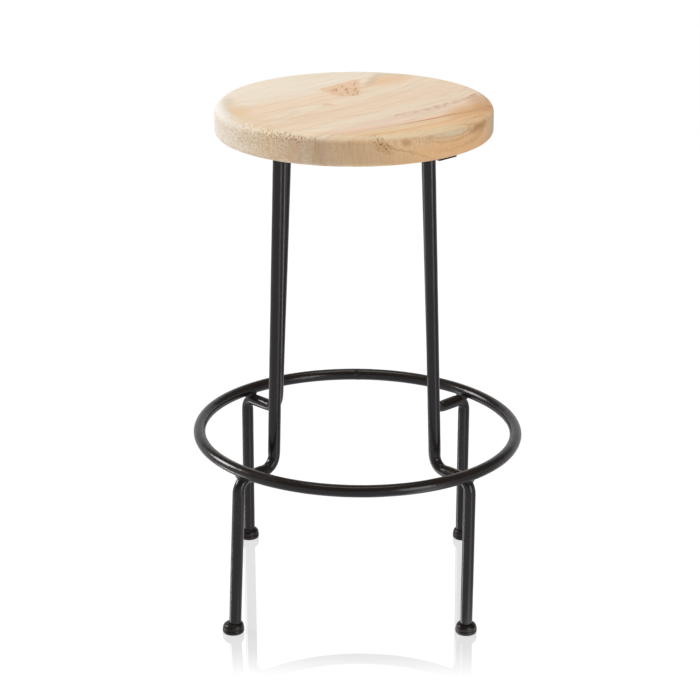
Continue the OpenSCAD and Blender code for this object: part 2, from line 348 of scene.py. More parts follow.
def draw_streaks(n):
    """The body: streaks along the grain, then broad zones across it."""
    streaks = n.noise(n.along_grain(0.1), 0.075, 4, 0.6)
    n.colour = n.ramp(streaks, (0.34, (227, 203, 174)), (0.5, (232, 212, 187)), (0.66, (236, 222, 201)))
    n.stain_and_light(n.step(n.q, -58, -92), 0.65, (234, 225, 207))
    for centre, half, soft, strength, rgb in (
            (-45, 8, 14, 0.3, (235, 207, 176)), (28, 14, 18, 0.5, (230, 203, 174)),
            (66, 5, 8, 0.55, (232, 219, 196)), (97, 8, 12, 0.5, (228, 203, 185))):
        n.stain_and_light(n.band(n.q, centre, half, soft), strength, rgb)


def draw_heart(n):
    """The heart's colours round the pith and the growth rings round it, which fade further out."""
    pith_z = 656.5
    pith = n.outside_bow(n.q, 184, 0.0015, 12)
    radius = n.vector("LENGTH", n.combine(pith, n.minus(n.z, pith_z)))
    uneven = n.minus(n.noise(n.place, 0.05), 0.5)
    radius = n.plus(radius, n.product(uneven, 6))
    heart = n.ramp(
        n.math("DIVIDE", radius, 60),
        (0, (222, 212, 182)), (0.12, (222, 208, 176)), (0.19, (206, 172, 130)), (0.27, (226, 190, 146)),
        (0.45, (230, 192, 146)), (0.6, (224, 180, 132)), (0.75, (233, 206, 166)))
    n.colour = n.mix(n.product(n.step(radius, 54, 44), 0.9), n.colour, heart)
    rings = n.noise(n.combine(radius, n.product(n.p, 0.012)), 0.34, 3, 0.6)
    share = n.product(n.step(radius, 40, 110, 0.45, 0.2), n.highest(n.top, n.step(radius, 44, 26)))
    n.stain_and_light(n.step(rings, 0.52, 0.64), share, (216, 176, 130), "MULTIPLY")


def draw_heart_edge(n):
    """The pink edge of the heart and the dark growth ring beyond it."""
    pink = n.outside_bow(n.straight_q, 128, 0.0026, -5)
    pink_share = n.highest(n.step(n.p, -85, -105), n.step(n.p, 40, 75, 0, 0.6))
    n.stain_and_light(n.band(pink, 0, 3, 5), n.product(pink_share, 0.7), (237, 201, 170))
    dark = n.outside_bow(n.straight_q, 132.3, 0.00082, 65)
    n.stain_and_light(n.band(dark, -6.5, 3.5, 6), n.step(n.p, -120, -90, 0, 0.5), (235, 196, 166))
    dark_share = n.product(n.top, n.step(n.p, -75, 10, 0.45, 1))
    n.stain_and_light(n.band(dark, 0, 0.8, 2.6), dark_share, (196, 140, 90))
    n.stain_and_light(n.band(dark, 7, 1.5, 3.5), n.product(n.top, 0.5), (218, 170, 120))


def draw_arch(n):
    """A pale arch with faint lines at the left, pointing up the grain."""
    aside = n.plus(n.q, 14)
    inside = n.minus(n.minus(-36, n.p), n.product(aside, aside, 0.2))
    pale = n.product(n.step(inside, 0, 10), n.step(inside, 120, 40))
    n.stain_and_light(pale, 0.4, (233, 220, 197))
    n.stain_and_light(n.band(inside, 0, 1, 7), 0.3, (212, 186, 152))
    n.stain_and_light(n.band(inside, 55, 3, 9), 0.2, (212, 186, 152))


def draw_knot(n):
    """A cut-off knot towards the rear, with rings of its own."""
    knot = n.lowest(n.right_of(n.on_top, (-46, 64), (0, 118), 1.5),
                    n.right_of(n.on_top, (-18, 26), (-46, 64), 4),
                    n.step(n.x, 12, 0), n.step(n.y, 24, 36))
    n.stain_and_light(knot, 0.75, (226, 187, 148))
    rings = n.noise(n.combine(n.x, n.product(n.y, 0.35)), 0.16, 2, 0.6)
    n.stain_and_light(n.product(knot, n.step(rings, 0.5, 0.62)), 0.45, (196, 150, 112))


def draw_top_stains(n):
    """The burn behind the knot, stains at their places on the top, and the knot's dark specks."""
    burn = n.product(n.ellipse(n.on_top, (42, 118), (34, 22), 62, 0.8),
                     n.right_of(n.on_top, (11, 84), (30, 152), 2.5))
    n.stain_and_light(burn, 0.6, (228, 186, 140))
    n.spots(n.on_top, n.top, (
        ((-4, 100), (18, 8), 80, 0.5, 0.35, (236, 200, 172)),
        ((23, 118), (38, 6), 78, 0.8, 0.5, (204, 178, 148)),
        ((50, 147), (24, 7), -15, 0.8, 0.5, (210, 194, 170)),
        ((-31, -16), (11, 5), -42, 0.8, 0.6, (224, 184, 142)),
        ((-146, -50), (30, 17), 100, 0.8, 0.6, (224, 190, 148)),
        ((-157, -6), (24, 7), 88, 0.8, 0.5, (208, 192, 168)),
        ((142, -45), (44, 20), 62, 0.6, 0.75, (216, 168, 118)),
        ((141, -53), (34, 1.6), 37, 0.7, 0.7, (176, 124, 80)),
        ((160, -15), (36, 9), 75, 0.7, 0.6, (198, 152, 106)),
        ((154, 12), (22, 10), 74, 0.8, 0.6, (200, 150, 102)),
        ((60, 66), (60, 4), 22, 0.8, 0.4, (226, 216, 192))))
    for centre, half in (
            ((-23, 60), (9, 1.2)), ((-15, 81), (5, 1.3)), ((-10, 67), (6, 1.5)), ((1, 66), (10, 1)),
            ((4, 50), (12, 0.9)), ((-1, 38), (7, 1)), ((0, 96), (9, 1)), ((-8, 50), (5, 0.9))):
        n.stain_and_light(n.ellipse(n.on_top, centre, half, 86, 0.7), 0.65, (164, 112, 78))


def draw_dashes(n):
    """Short dark dashes along one growth ring, and faint ones across the grain beside it."""
    line = n.outside_bow(n.straight_q, 92.5, 0.0014, 50)
    dashes = n.noise(n.combine(n.product(n.p, 0.13), n.product(n.q, 0.8)), 0.5, 2, 0.7)
    share = n.product(n.band(line, 0, 2, 5), n.step(n.p, -30, -20), n.step(n.p, 146, 132), n.top)
    n.stain_and_light(n.product(n.step(dashes, 0.5, 0.6), share), 0.8, (162, 112, 74))
    crossing = n.noise(n.combine(n.p, n.product(n.q, 0.12)), 0.7, 2, 0.6)
    share = n.product(n.band(line, 11, 6, 8), n.step(n.p, -40, -10), n.step(n.p, 90, 50), n.top)
    n.stain_and_light(n.product(n.step(crossing, 0.5, 0.65), share), 0.4, (206, 176, 152))


def draw_rim_zones(n):
    """Broad zones of the rim, from its left end to its right, and its rounded upper edge. The pale left
    end is a painted sheen, the darker rear left side and right end are painted shade, and the pale
    band on the front of the upper edge is a painted highlight.
    """
    # Painted sheen: the rim's left end is painted a pale grey.
    left_end_sheen_u = -515
    left_end_sheen = n.highest(*(n.ellipse(n.rim, (u, 642), (85, 60), 0, 0.6)
                           for u in (left_end_sheen_u, left_end_sheen_u + RIM_LENGTH)))
    n.stain_and_light(n.product(left_end_sheen, n.near_edge), 0.85, (219, 217, 212))
    # Painted shade: the rim's rear left side, which faces the key lamp, is painted a darker wood.
    rear_left = n.product(n.side, n.step(n.y, -10, 26), n.step(n.x, 60, -20))
    n.stain_and_light(rear_left, 0.75, (204, 178, 146))
    # Painted shade: the rim's right end is painted greyer and darker.
    right_end_shade = n.ellipse(n.rim, (-32, 640), (30, 40), 0, 0.5)
    n.stain_and_light(n.product(right_end_shade, n.side), 0.6, (194, 178, 156))
    grey = n.lowest(n.right_of(n.on_rim, (-324, 630), (-320, 656), 5),
                    n.right_of(n.on_rim, (-335, 654), (-262, 651.5), 1.5),
                    n.right_of(n.on_rim, (-262, 653), (-186, 628), 2))
    n.stain_and_light(n.product(grey, n.front), 0.65, (205, 175, 141))
    # Painted highlight: a pale band along the front of the rounded upper edge.
    pale_edge_highlight = n.product(n.band(n.z, 656.8, 1.4, 2), n.step(n.y, -100, -125))
    n.stain_and_light(pale_edge_highlight, 0.35, (246, 236, 204))
    left_edge = n.product(n.band(n.z, 658.6, 1.2, 1.5), n.step(n.x, -90, -115), n.step(n.y, -60, -85))
    n.stain_and_light(left_edge, 0.35, (224, 196, 156))


def draw_rim_marks(n):
    """Marks round the heart on the rim's front, and dark specks on its edge."""
    warm = n.ellipse(n.rim, (-112, 640), (62, 20), 0, 0.5)
    n.stain_and_light(n.product(warm, n.front), 0.45, (222, 176, 126))
    for half, strength in (((37, 9), 0.7), ((52, 14), 0.5), ((74, 24), 0.5)):
        ring = n.band(n.ellipse_reach(n.on_rim, (-143, 657), half), 1, 0.02, 0.12)
        n.stain_and_light(n.product(ring, n.front, n.step(n.u, -186, -160)), strength, (192, 146, 100))
    n.spots(n.on_rim, n.front, (
        ((-316, 643), (8, 15), 0, 0.9, 0.3, (176, 136, 104)),
        ((-342, 640), (16, 20), 0, 0.6, 0.35, (186, 160, 130)),
        ((-205, 637.5), (34, 1.3), -19.5, 0.7, 0.6, (160, 118, 76)),
        ((-209, 650), (7, 4.5), -20, 0.7, 0.75, (196, 142, 94)),
        ((-144, 656), (31, 7.5), 0, 0.6, 0.75, (219, 209, 182)),
        ((-178, 652), (5, 3), 30, 0.8, 0.6, (190, 156, 122)),
        ((-86, 651), (18, 6), 8, 0.8, 0.85, (176, 130, 84)),
        ((-240, 647), (15, 6), -35, 0.7, 0.35, (196, 152, 90)),
        ((-165, 634), (62, 10), 0, 0.8, 0.6, (230, 182, 130))))
    specks = n.noise(n.vector("MULTIPLY", n.rim, (1, 0.55, 0)), 0.62, 2, 0.7)
    for centre, half, turn, strength, rgb in (
            ((-362, 653.5), (38, 4.5), 0, 0.95, (112, 76, 46)),
            ((-239, 647), (14, 6), -35, 1, (128, 84, 30)),
            ((-420, 648), (64, 14), 0, 0.55, (160, 126, 88))):
        spot = n.product(n.step(specks, 0.51, 0.6), n.ellipse(n.on_rim, centre, half, turn), n.near_edge)
        n.stain_and_light(spot, strength, rgb)


def seat_wood():
    """A sanded softwood board: streaks and growth rings, a knot, and a saw-rough rim."""
    n = Wood(bpy.data.materials.new("seat_wood"))
    for draw in (draw_streaks, draw_heart, draw_heart_edge, draw_arch, draw_knot, draw_top_stains,
                 draw_dashes, draw_rim_zones, draw_rim_marks):
        draw(n)

    # Pores in the end grain, upright saw lines round the rim, and fibres along the grain
    pores = n.noise(n.combine(n.product(n.q, 0.8), n.z, n.product(n.p, 0.8)), 0.36, 3, 0.65)
    n.stain_and_light(n.product(n.step(pores, 0.44, 0.6), n.end_grain), 0.6, (205, 176, 130))
    saw = n.noise(n.vector("MULTIPLY", n.rim, (1, 0.05, 0)), 0.75, 2, 0.6)
    sawn = n.lowest(n.step(n.u, -350, -310, 0.4, 1), n.step(n.u, -200, -150, 1, 0.35))
    n.stain_and_light(n.product(n.step(saw, 0.44, 0.64), n.side, sawn), 0.34, (184, 150, 112))
    fibres = n.noise(n.along_grain(0.03), 0.9, 3, 0.65)
    n.stain_and_light(n.step(fibres, 0.35, 0.75), 0.2, (206, 172, 136), "MULTIPLY")

    rough_rim = n.product(n.plus(saw, pores), n.side)
    relief = n.bump(n.plus(fibres, rough_rim), 0.16 * MM)
    relief = n.bump(n.noise(n.place, 0.06, 3), 0.6 * MM, relief)
    return n.surface(n.colour, n.step(fibres, 0.3, 0.7, 0.56, 0.7), relief, IOR=1.4)


# -------- paint, rubber and zinc


def black_paint():
    """Satin black paint on drawn rod, thin enough to show scuffs and lines along the rod."""
    n = Nodes(bpy.data.materials.new("black_paint"))
    place = n.object_mm()
    patches = n.noise(place, 0.018, 3, 0.6)
    scuffs = n.noise(place, 0.25, 4, 0.7)
    worn = n.product(n.step(patches, 0.56, 0.7), n.step(scuffs, 0.5, 0.66))

    # Feet have rubbed the ring's upper side, away from its left and right ends
    x, _, height = n.split(place)
    upward = n.step(n.split(n.add("NewGeometry").outputs["Normal"])[2], -0.1, 0.7)
    rubbed = n.product(n.step(height, 196, 208), n.step(height, 246, 232), upward,
                       n.step(n.math("ABSOLUTE", x), 205, 165))
    colour = n.mix(n.step(patches, 0.3, 0.7), tone(21, 15, 21), tone(25, 18, 23))
    colour = n.mix(n.product(rubbed, 0.8), colour, tone(38, 31, 25))
    colour = n.mix(n.product(worn, 0.55), colour, tone(74, 58, 46))

    # The UVs run round and along a rod in metres; the lines are long along it
    round_and_along = n.vector("MULTIPLY", n.add("TexCoord").outputs["UV"], (1000, 40, 0))
    relief = n.bump(n.noise(place, 0.45, 3, 0.55), 0.02 * MM)
    relief = n.bump(n.noise(round_and_along, 0.7), 0.02 * MM, relief)
    relief = n.bump(n.noise(place, 0.07), 0.35 * MM, relief)
    roughness = n.plus(n.step(patches, 0.3, 0.7, 0.19, 0.27), n.product(worn, 0.2))
    return n.surface(colour, roughness, relief, IOR=1.4)


def painted_weld():
    """The same paint over weld metal, with pits and spatter."""
    n = Nodes(bpy.data.materials.new("painted_weld"))
    place = n.object_mm()
    lumps = n.noise(place, 0.35, 3, 0.55)
    grit = n.noise(place, 1.6, 3, 0.6)
    colour = n.mix(n.step(lumps, 0.35, 0.7), tone(15, 14, 14), tone(26, 23, 21))
    relief = n.bump(lumps, 0.6 * MM)
    relief = n.bump(grit, 0.15 * MM, relief)
    return n.surface(colour, n.step(grit, 0.3, 0.7, 0.3, 0.45), relief, IOR=1.42)


def black_rubber():
    """Moulded rubber, dulled with a little brown dust."""
    n = Nodes(bpy.data.materials.new("black_rubber"))
    place = n.object_mm()
    dust = n.noise(place, 0.12, 4, 0.65)
    grit = n.noise(place, 1.2, 3, 0.6)
    colour = n.mix(n.step(dust, 0.4, 0.7), tone(20, 14, 13), tone(38, 28, 23))
    relief = n.bump(grit, 0.12 * MM)
    relief = n.bump(n.noise(place, 0.16), 0.5 * MM, relief)
    return n.surface(colour, n.step(dust, 0.35, 0.7, 0.28, 0.42), relief, IOR=1.37)


def zinc_steel():
    """Bright zinc plate with a fine lay and faint clouding."""
    n = Nodes(bpy.data.materials.new("zinc_steel"))
    place = n.object_mm()
    cloud = n.noise(place, 0.3, 3, 0.6)
    lay = n.noise(n.vector("MULTIPLY", place, (6, 0.4, 6)), 0.8, 2, 0.6)
    colour = n.mix(n.step(cloud, 0.35, 0.7), tone(196, 198, 201), tone(176, 176, 172))
    relief = n.bump(lay, 0.02 * MM)
    return n.surface(colour, n.step(cloud, 0.3, 0.7, 0.28, 0.42), relief, Metallic=1)


# -------- meshes


def new_object(name, data):
    item = bpy.data.objects.new(name, data)
    bpy.context.scene.collection.objects.link(item)
    return item


def mesh_piece(name, shape, material, node):
    """A smooth mesh object of points, faces and UVs that stands for a CAD node and rides on the stool."""
    points, faces, uvs = shape
    mesh = bpy.data.meshes.new(name)
    mesh.from_pydata([tuple(p) for p in points], [], faces)
    layer = mesh.uv_layers.new(name="lay")
    for loop, uv in zip(layer.data, uvs):
        loop.uv = uv
    for polygon in mesh.polygons:
        polygon.use_smooth = True
    mesh.validate()
    piece = new_object(name, mesh)
    mesh.materials.append(material)
    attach(piece, BODY)
    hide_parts(node)


def grid_faces(rows, columns, row_at, column_at, closed_rows=False, first=0):
    """Quads of a grid whose columns close on themselves, with UVs from each row's and column's place."""
    faces, uvs = [], []
    for i in range(rows if closed_rows else rows - 1):
        below = first + i * columns
        above = first + ((i + 1) % rows) * columns
        for j in range(columns):
            k = (j + 1) % columns
            faces.append((below + j, below + k, above + k, above + j))
            uvs += [(column_at[j], row_at[i]), (column_at[j + 1], row_at[i]),
                    (column_at[j + 1], row_at[i + 1]), (column_at[j], row_at[i + 1])]
    return faces, uvs


def swept_rod(line, across, section, columns=40, closed=False):
    """Points, faces and UVs of a rod along a line that lies near a plane, across being its normal.
    section(along, angle) gives the rod's radius; angle 0 faces across x forward."""
    count = len(line)
    along = [0]
    for i in range(count if closed else count - 1):
        along.append(along[-1] + (line[(i + 1) % count] - line[i]).length)
    points = []
    for i, centre in enumerate(line):
        before = line[i - 1] if i or closed else line[0]
        after = line[(i + 1) % count] if i < count - 1 or closed else line[-1]
        forward = (after - before).normalized()
        outward = across.cross(forward).normalized()
        beside = forward.cross(outward)
        for j in range(columns):
            angle = math.tau * j / columns
            radius = section(along[i], angle)
            points.append(centre + (outward * math.cos(angle) + beside * math.sin(angle)) * radius)
    girth = math.tau * section(0, 0)
    column_at = [girth * j / columns for j in range(columns + 1)]
    faces, uvs = grid_faces(count, columns, along, column_at, closed)
    if not closed:
        faces += [tuple(range(columns))[::-1], tuple(range((count - 1) * columns, count * columns))]
        uvs += [(0, 0)] * 2 * columns
    return points, faces, uvs


def on_rod(along, angle, radius):
    """A place on a rod as if it were straight, for noise that follows it round its bends."""
    return (along, math.cos(angle) * radius, math.sin(angle) * radius)


def turned(outline, columns, wobble):
    """Points, faces and UVs of a solid turned about Z. The outline is (radius, height) points from
    its lower to its upper middle; wobble(point) gives how far a point moves outward and up."""
    points = [Vector((0, 0, outline[0][1]))]
    inner = outline[1:-1]
    along = [0]
    for a, b in zip(inner, inner[1:]):
        along.append(along[-1] + math.dist(a, b))
    for radius, height in inner:
        for j in range(columns):
            angle = math.tau * j / columns
            direction = Vector((math.cos(angle), math.sin(angle), 0))
            out, lift = wobble(direction * radius + UP * height)
            points.append(direction * (radius + out) + UP * (height + lift))
    points.append(Vector((0, 0, outline[-1][1])))
    widest = max(radius for radius, _ in outline)
    column_at = [math.tau * widest * j / columns for j in range(columns + 1)]
    faces, uvs = grid_faces(len(inner), columns, along, column_at, first=1)
    last = len(points) - 1
    top_row = 1 + (len(inner) - 1) * columns
    for j in range(columns):
        k = (j + 1) % columns
        faces += [(0, 1 + k, 1 + j), (last, top_row + j, top_row + k)]
        uvs += [(column_at[j], 0)] * 3 + [(column_at[j], along[-1])] * 3
    return points, faces, uvs


def arc(centre, radius, start, end, steps):
    """Points (x, y) on an arc, in degrees."""
    turns = [math.radians(start + (end - start) * i / steps) for i in range(steps + 1)]
    return [(centre[0] + radius * math.cos(t), centre[1] + radius * math.sin(t)) for t in turns]


def drift(place, size, seed):
    """Smooth noise from -1 to 1 with features of a size in metres."""
    return noise.noise(Vector(place) / size + Vector((seed * 7.3, seed * 3.1, seed * 5.7)))


# -------- seat


def seat(material):
    """The wooden disc, sanded by hand, with a well rounded upper edge and an eased lower one."""
    low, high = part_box("seat")
    seat_r = (high.x - low.x) / 2
    thick = high.z - low.z
    top_round = 12 * MM
    bottom_round = 5 * MM
    flat_margin = 2 * MM
    sand = 0.35 * MM
    shy = 0.05 * MM

    def wobble(point):
        """Sanding leaves the edges and faces up to a fraction of a millimetre inside the true disc."""
        reach = math.hypot(point.x, point.y)
        at_edge = smooth_step(reach, seat_r - 2 * top_round, seat_r - 4 * MM)
        hollow = 0.5 + 0.5 * drift(point, 60 * MM, 1)
        out = -shy - sand * at_edge * (0.5 + 0.5 * drift(point, 45 * MM, 2))
        lift = -shy - sand * hollow if point.z > thick / 2 else shy
        return out * min(reach / seat_r, 1), lift

    faces_r = [seat_r * i / 26 for i in range(1, 23)]
    bottom = [(r, 0) for r in faces_r if r < seat_r - bottom_round - flat_margin]
    top = [(r, thick) for r in reversed(faces_r) if r < seat_r - top_round - flat_margin]
    wall = thick - bottom_round - top_round
    outline = [(0, 0)] + bottom
    outline += arc((seat_r - bottom_round, bottom_round), bottom_round, -90, 0, 8)
    outline += [(seat_r, bottom_round + wall * i / 6) for i in range(1, 6)]
    outline += arc((seat_r - top_round, thick - top_round), top_round, 0, 90, 14)
    outline += top + [(0, thick)]
    points, faces, uvs = turned(outline, 240, wobble)
    points = [p + UP * low.z for p in points]
    mesh_piece("wooden_seat", (points, faces, uvs), material, "seat")


# -------- rods


def ring_middle(points):
    """The middle of a level ring of points."""
    return Vector((points.min(0) + points.max(0)) / 2)


class LegLine:
    """Sizes of one leg, read from its CAD node. Its bends lie in an upright plane at the leg's angle
    that is moved to the right by the leg's sway; its straight parts run from them to their ends."""

    def __init__(self, name):
        self.name = name
        self.out = around(LEGS[name])
        self.across = self.out.cross(UP)
        points = vertices("leg_" + name)
        up = points[:, 2]
        self.foot = ring_middle(points[up < up.min() + 0.1 * MM])
        self.top = ring_middle(points[up > up.max() - 0.1 * MM])
        low_out = self.foot.y / self.out.y
        top_out = self.top.y / self.out.y
        shoulder_out = low_out - SHOULDER_BEND_R
        knee_out = low_out - STEP_OUT + KNEE_BEND_R

        reach = points @ np.array(self.out)
        aside = points @ np.array(self.across)
        shoulder = np.abs(reach - shoulder_out) < 4 * MM
        shoulder &= up > up[shoulder].max() - 10 * MM
        self.sway = (aside[shoulder].min() + aside[shoulder].max()) / 2 / self.across.x
        start = up[np.abs(reach - shoulder_out - self.sway * self.out.x) < 0.3 * MM]
        start = start[start > start.max() - 20 * MM]
        self.bent_r = (start.max() - start.min()) / 2 + PAINT
        run_z = (start.max() + start.min()) / 2
        knee_z = run_z + KNEE_BEND_R
        shoulder_z = run_z - SHOULDER_BEND_R
        self.knee_centre = (knee_out, knee_z)
        rounder = ROUNDER.get(name, 0)
        self.shoulder_bend_r = SHOULDER_BEND_R + rounder
        self.shoulder_centre = (shoulder_out - rounder, shoulder_z - rounder)
        out = knee_out - top_out
        down = self.top.z - knee_z
        self.lean = math.degrees(math.atan(out / down) - math.asin(KNEE_BEND_R / math.hypot(out, down)))

        knee_start = self.place(knee_out - KNEE_BEND_R, knee_z)
        straight = np.array((self.top - knee_start).normalized())
        from_top = points[up > up.max() - 0.1 * MM] - np.array(self.top)
        along = from_top @ straight
        self.rod_r = float(np.sqrt((from_top ** 2).sum(1) - along ** 2).max()) + PAINT
        low_end = self.place(shoulder_out + SHOULDER_BEND_R, shoulder_z)
        self.low_direction = (low_end - self.foot).normalized()

    def place(self, out, up):
        """The place in the plane of the leg's bends."""
        return self.out * out + UP * up + RIGHT * self.sway

    def centre_line(self):
        """Points from the upper end to the foot, and the numbers of the bends' middle points."""
        knee, shoulder = ([self.place(*at) for at in arc(*bend, BEND_STEPS)] for bend in (
            (self.knee_centre, KNEE_BEND_R, 180 + self.lean, 270),
            (self.shoulder_centre, self.shoulder_bend_r, 90, 0)))
        line = spaced(self.top, knee[0], 4 * MM) + knee
        at_knee = len(line) - 1 - BEND_STEPS // 2
        line += spaced(knee[-1], shoulder[0], 3 * MM)[1:] + shoulder
        at_shoulder = len(line) - 1 - BEND_STEPS // 2
        line += spaced(shoulder[-1], self.foot, 4 * MM)[1:] + [self.foot]
        return line, at_knee, at_shoulder


def spaced(start, end, pitch):
    """Points from start towards end, without the end itself."""
    steps = max(2, round((end - start).length / pitch))
    return [start.lerp(end, i / steps) for i in range(steps)]


def leg_rod(leg, seed, material):
    """A bent rod: a little flattened in its bends, with small dents from the bending."""
    line, at_knee, at_shoulder = leg.centre_line()
    travelled = [0]
    for a, b in zip(line, line[1:]):
        travelled.append(travelled[-1] + (b - a).length)
    knee_at = travelled[at_knee]
    shoulder_at = travelled[at_shoulder]
    flattening = 0.35 * MM
    dents = 0.15 * MM
    waves = 0.06 * MM
    wander = 0.2 * MM

    def section(along, angle):
        near_knee = 1 - smooth_step(abs(along - knee_at), 8 * MM, 20 * MM)
        near_shoulder = 1 - smooth_step(abs(along - shoulder_at), 6 * MM, 16 * MM)
        bent = max(near_knee, near_shoulder)
        radius = leg.rod_r + (leg.bent_r - leg.rod_r) * bent
        radius -= bent * flattening * math.cos(angle) ** 2
        place = on_rod(along, angle, leg.rod_r)
        radius -= bent * dents * max(0, drift(place, 8 * MM, seed)) * (0.5 - 0.5 * math.cos(angle))
        return radius + waves * drift(place, 14 * MM, seed + 10)

    total = travelled[-1]
    moved = []
    for point, along in zip(line, travelled):
        held = smooth_step(along, 0, 60 * MM) * smooth_step(total - along, 0, 40 * MM)
        push = leg.out * drift((along, 0, 0), 110 * MM, seed)
        push += leg.across * drift((0, along, 0), 130 * MM, seed)
        moved.append(point + push * wander * held)
    shape = swept_rod(moved, leg.across, section)
    mesh_piece(leg.name + "_leg_rod", shape, material, "leg_" + leg.name)


class RingLine:
    """Middle, radius and tilt of the footrest ring, read from its CAD node. Its rod is the legs'."""

    def __init__(self, rod_r):
        points = vertices("footrest_ring")
        low, high = points.min(0), points.max(0)
        self.rod_r = rod_r
        self.radius = (high[0] - low[0]) / 2 - rod_r
        right = points[points[:, 0] > high[0] - rod_r]
        left = points[points[:, 0] < low[0] + rod_r]
        rise = (right[:, 2].max() - left[:, 2].max()) / (2 * self.radius)
        self.centre = Vector(((low[0] + high[0]) / 2, 0, (low[2] + high[2]) / 2))
        self.normal = Vector((-rise, 0, 1)).normalized()

    def place(self, degrees):
        direction = around(degrees)
        direction -= self.normal * direction.dot(self.normal)
        return self.centre + direction.normalized() * self.radius

    def over(self, leg):
        """The place on the ring's centre line over the plane of a leg's bends."""
        shift = self.centre.x - leg.sway
        reach = shift * leg.out.x + math.sqrt(self.radius ** 2 - (shift * leg.out.y) ** 2)
        crossing = leg.out * reach - RIGHT * shift
        return self.place(math.degrees(math.atan2(crossing.y, crossing.x)))


def footrest_ring(ring, material):
    """A rod rolled into a ring, a little out of round as hand rolling leaves it."""
    steps = 360
    inset = 0.2 * MM
    wave = 0.06 * MM
    start = SEAM_AT + SEAM_HALF
    sweep = 360 - 2 * SEAM_HALF
    line = []
    for i in range(steps + 1):
        degrees = start + sweep * i / steps
        point = ring.place(degrees)
        outward = (point - ring.centre).normalized()
        point += outward * inset * (drift(point, 120 * MM, 21) - 1)
        point += UP * inset * drift(point, 100 * MM, 22)
        line.append(point)

    def section(along, angle):
        place = on_rod(along, angle, ring.rod_r)
        return ring.rod_r - wave * (1 - drift(place, 15 * MM, 23))

    shape = swept_rod(line, -ring.normal, section)
    mesh_piece("ring_rod", shape, material, "footrest_ring")


# -------- welds


def ring_seam(ring, material):
    """The ground-back butt weld that closes the ring: a low band of ripples."""
    steps = 24
    inset = 0.25 * MM
    sunk = 0.5 * MM
    rise = 0.55 * MM
    half = SEAM_HALF * 4
    line = [ring.place(SEAM_AT - half + 2 * half * i / steps) - around(SEAM_AT) * inset
            for i in range(steps + 1)]
    length = math.tau * ring.radius * 2 * half / 360

    def section(along, angle):
        crown = math.sin(math.pi * min(max(along / length, 0), 1)) ** 0.6
        ripple = 0.05 * MM * math.sin(along / (0.9 * MM) + 2 * math.sin(angle * 3))
        lump = 0.08 * MM * drift(on_rod(along, angle, 8 * MM), 3 * MM, 31)
        return ring.rod_r - sunk + (rise + ripple + lump) * crown

    shape = swept_rod(line, -ring.normal, section)
    mesh_piece("seam_bead", shape, material, "ring_seam_weld")


def ring_weld(leg, ring, seed, material):
    """The web of weld between a leg's shoulder and the ring, widening along the ring."""
    neck_r = 7 * MM
    half = 6.5 * MM
    spread_from = -4 * MM
    spread = 12 * MM
    lean_in = 0.8 * MM
    rows = 22
    shoulder = leg.place(*leg.shoulder_centre)
    to_ring = ring.over(leg) - shoulder
    axis = to_ring.normalized()
    beside = axis.cross(leg.across)
    leg_surface = leg.shoulder_bend_r + leg.bent_r
    surface_gap = to_ring.length - leg_surface - ring.rod_r
    centre = shoulder + axis * (leg_surface + surface_gap / 2)
    turn = axis.to_track_quat("Z", "Y").to_matrix()
    outline = [(0, -half)]
    outline += [(neck_r, -half + 2 * half * i / rows) for i in range(rows + 1)]
    outline.append((0, half))

    def widened(point):
        """Wide along the ring at the ring's end, and a little along the leg at the leg's end."""
        height = point.dot(axis)
        aside = point.dot(leg.across)
        along = point.dot(beside)
        aside *= 1 + spread / neck_r * max(0, (height - spread_from) / (half - spread_from)) ** 1.4
        along *= 1 + lean_in / neck_r * (-height / half)
        return axis * height + leg.across * aside + beside * along

    def wobble(point):
        return 0.55 * MM * drift(point, 3.2 * MM, seed) + 0.25 * MM * drift(point, 1.6 * MM, seed + 5), 0

    points, faces, uvs = turned(outline, 48, wobble)
    shape = [centre + widened(turn @ p) for p in points], faces, uvs
    mesh_piece(leg.name + "_ring_web", shape, material, "ring_weld_" + leg.name)


def bead(line, across, radius, seed, closed):
    """Points, faces and UVs of a weld bead: a rod of small radius with ripples along it."""
    def section(along, angle):
        ripple = 0.12 * radius * math.sin(along / (0.45 * radius))
        return radius + ripple + 0.25 * radius * drift(on_rod(along, angle, radius), radius, seed)

    return swept_rod(line, across, section, 16, closed)


def under(points, ceiling):
    """Points pressed flat under a level face."""
    return [Vector((p.x, p.y, min(p.z, ceiling))) for p in points]


def top_weld(leg, seed, material):
    """A fillet bead round the top of a leg, tight up against its bar."""
    reach = leg.rod_r + 0.9 * MM
    centre = leg.top - UP * 1.2 * MM
    line = [centre + around(6 * i) * reach for i in range(60)]
    points, faces, uvs = bead(line, UP, 2.1 * MM, seed, True)
    shape = under(points, leg.top.z + 0.4 * MM), faces, uvs
    mesh_piece(leg.name + "_top_bead", shape, material, "top_weld_" + leg.name)


def cross_weld(material):
    """Two beads along the lower bar's edges, under the upper bar."""
    low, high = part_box("bar_cross_weld")
    centre = (low + high) / 2
    lower_bar = around(LEGS["rear_left"])
    beside = around(LEGS["rear_left"] + 90)
    out = 15 * MM + 0.5 * MM
    points, faces, uvs = [], [], []
    for side in (1, -1):
        start = Vector((centre.x, centre.y, high.z - 1 * MM)) + beside * side * out
        line = [start + lower_bar * i * MM for i in range(-14, 15)]
        bead_points, bead_faces, bead_uvs = bead(line, UP, 1.9 * MM, 40 + side, False)
        faces += [tuple(i + len(points) for i in face) for face in bead_faces]
        points += under(bead_points, high.z + 0.3 * MM)
        uvs += bead_uvs
    mesh_piece("cross_beads", (points, faces, uvs), material, "bar_cross_weld")


# -------- feet


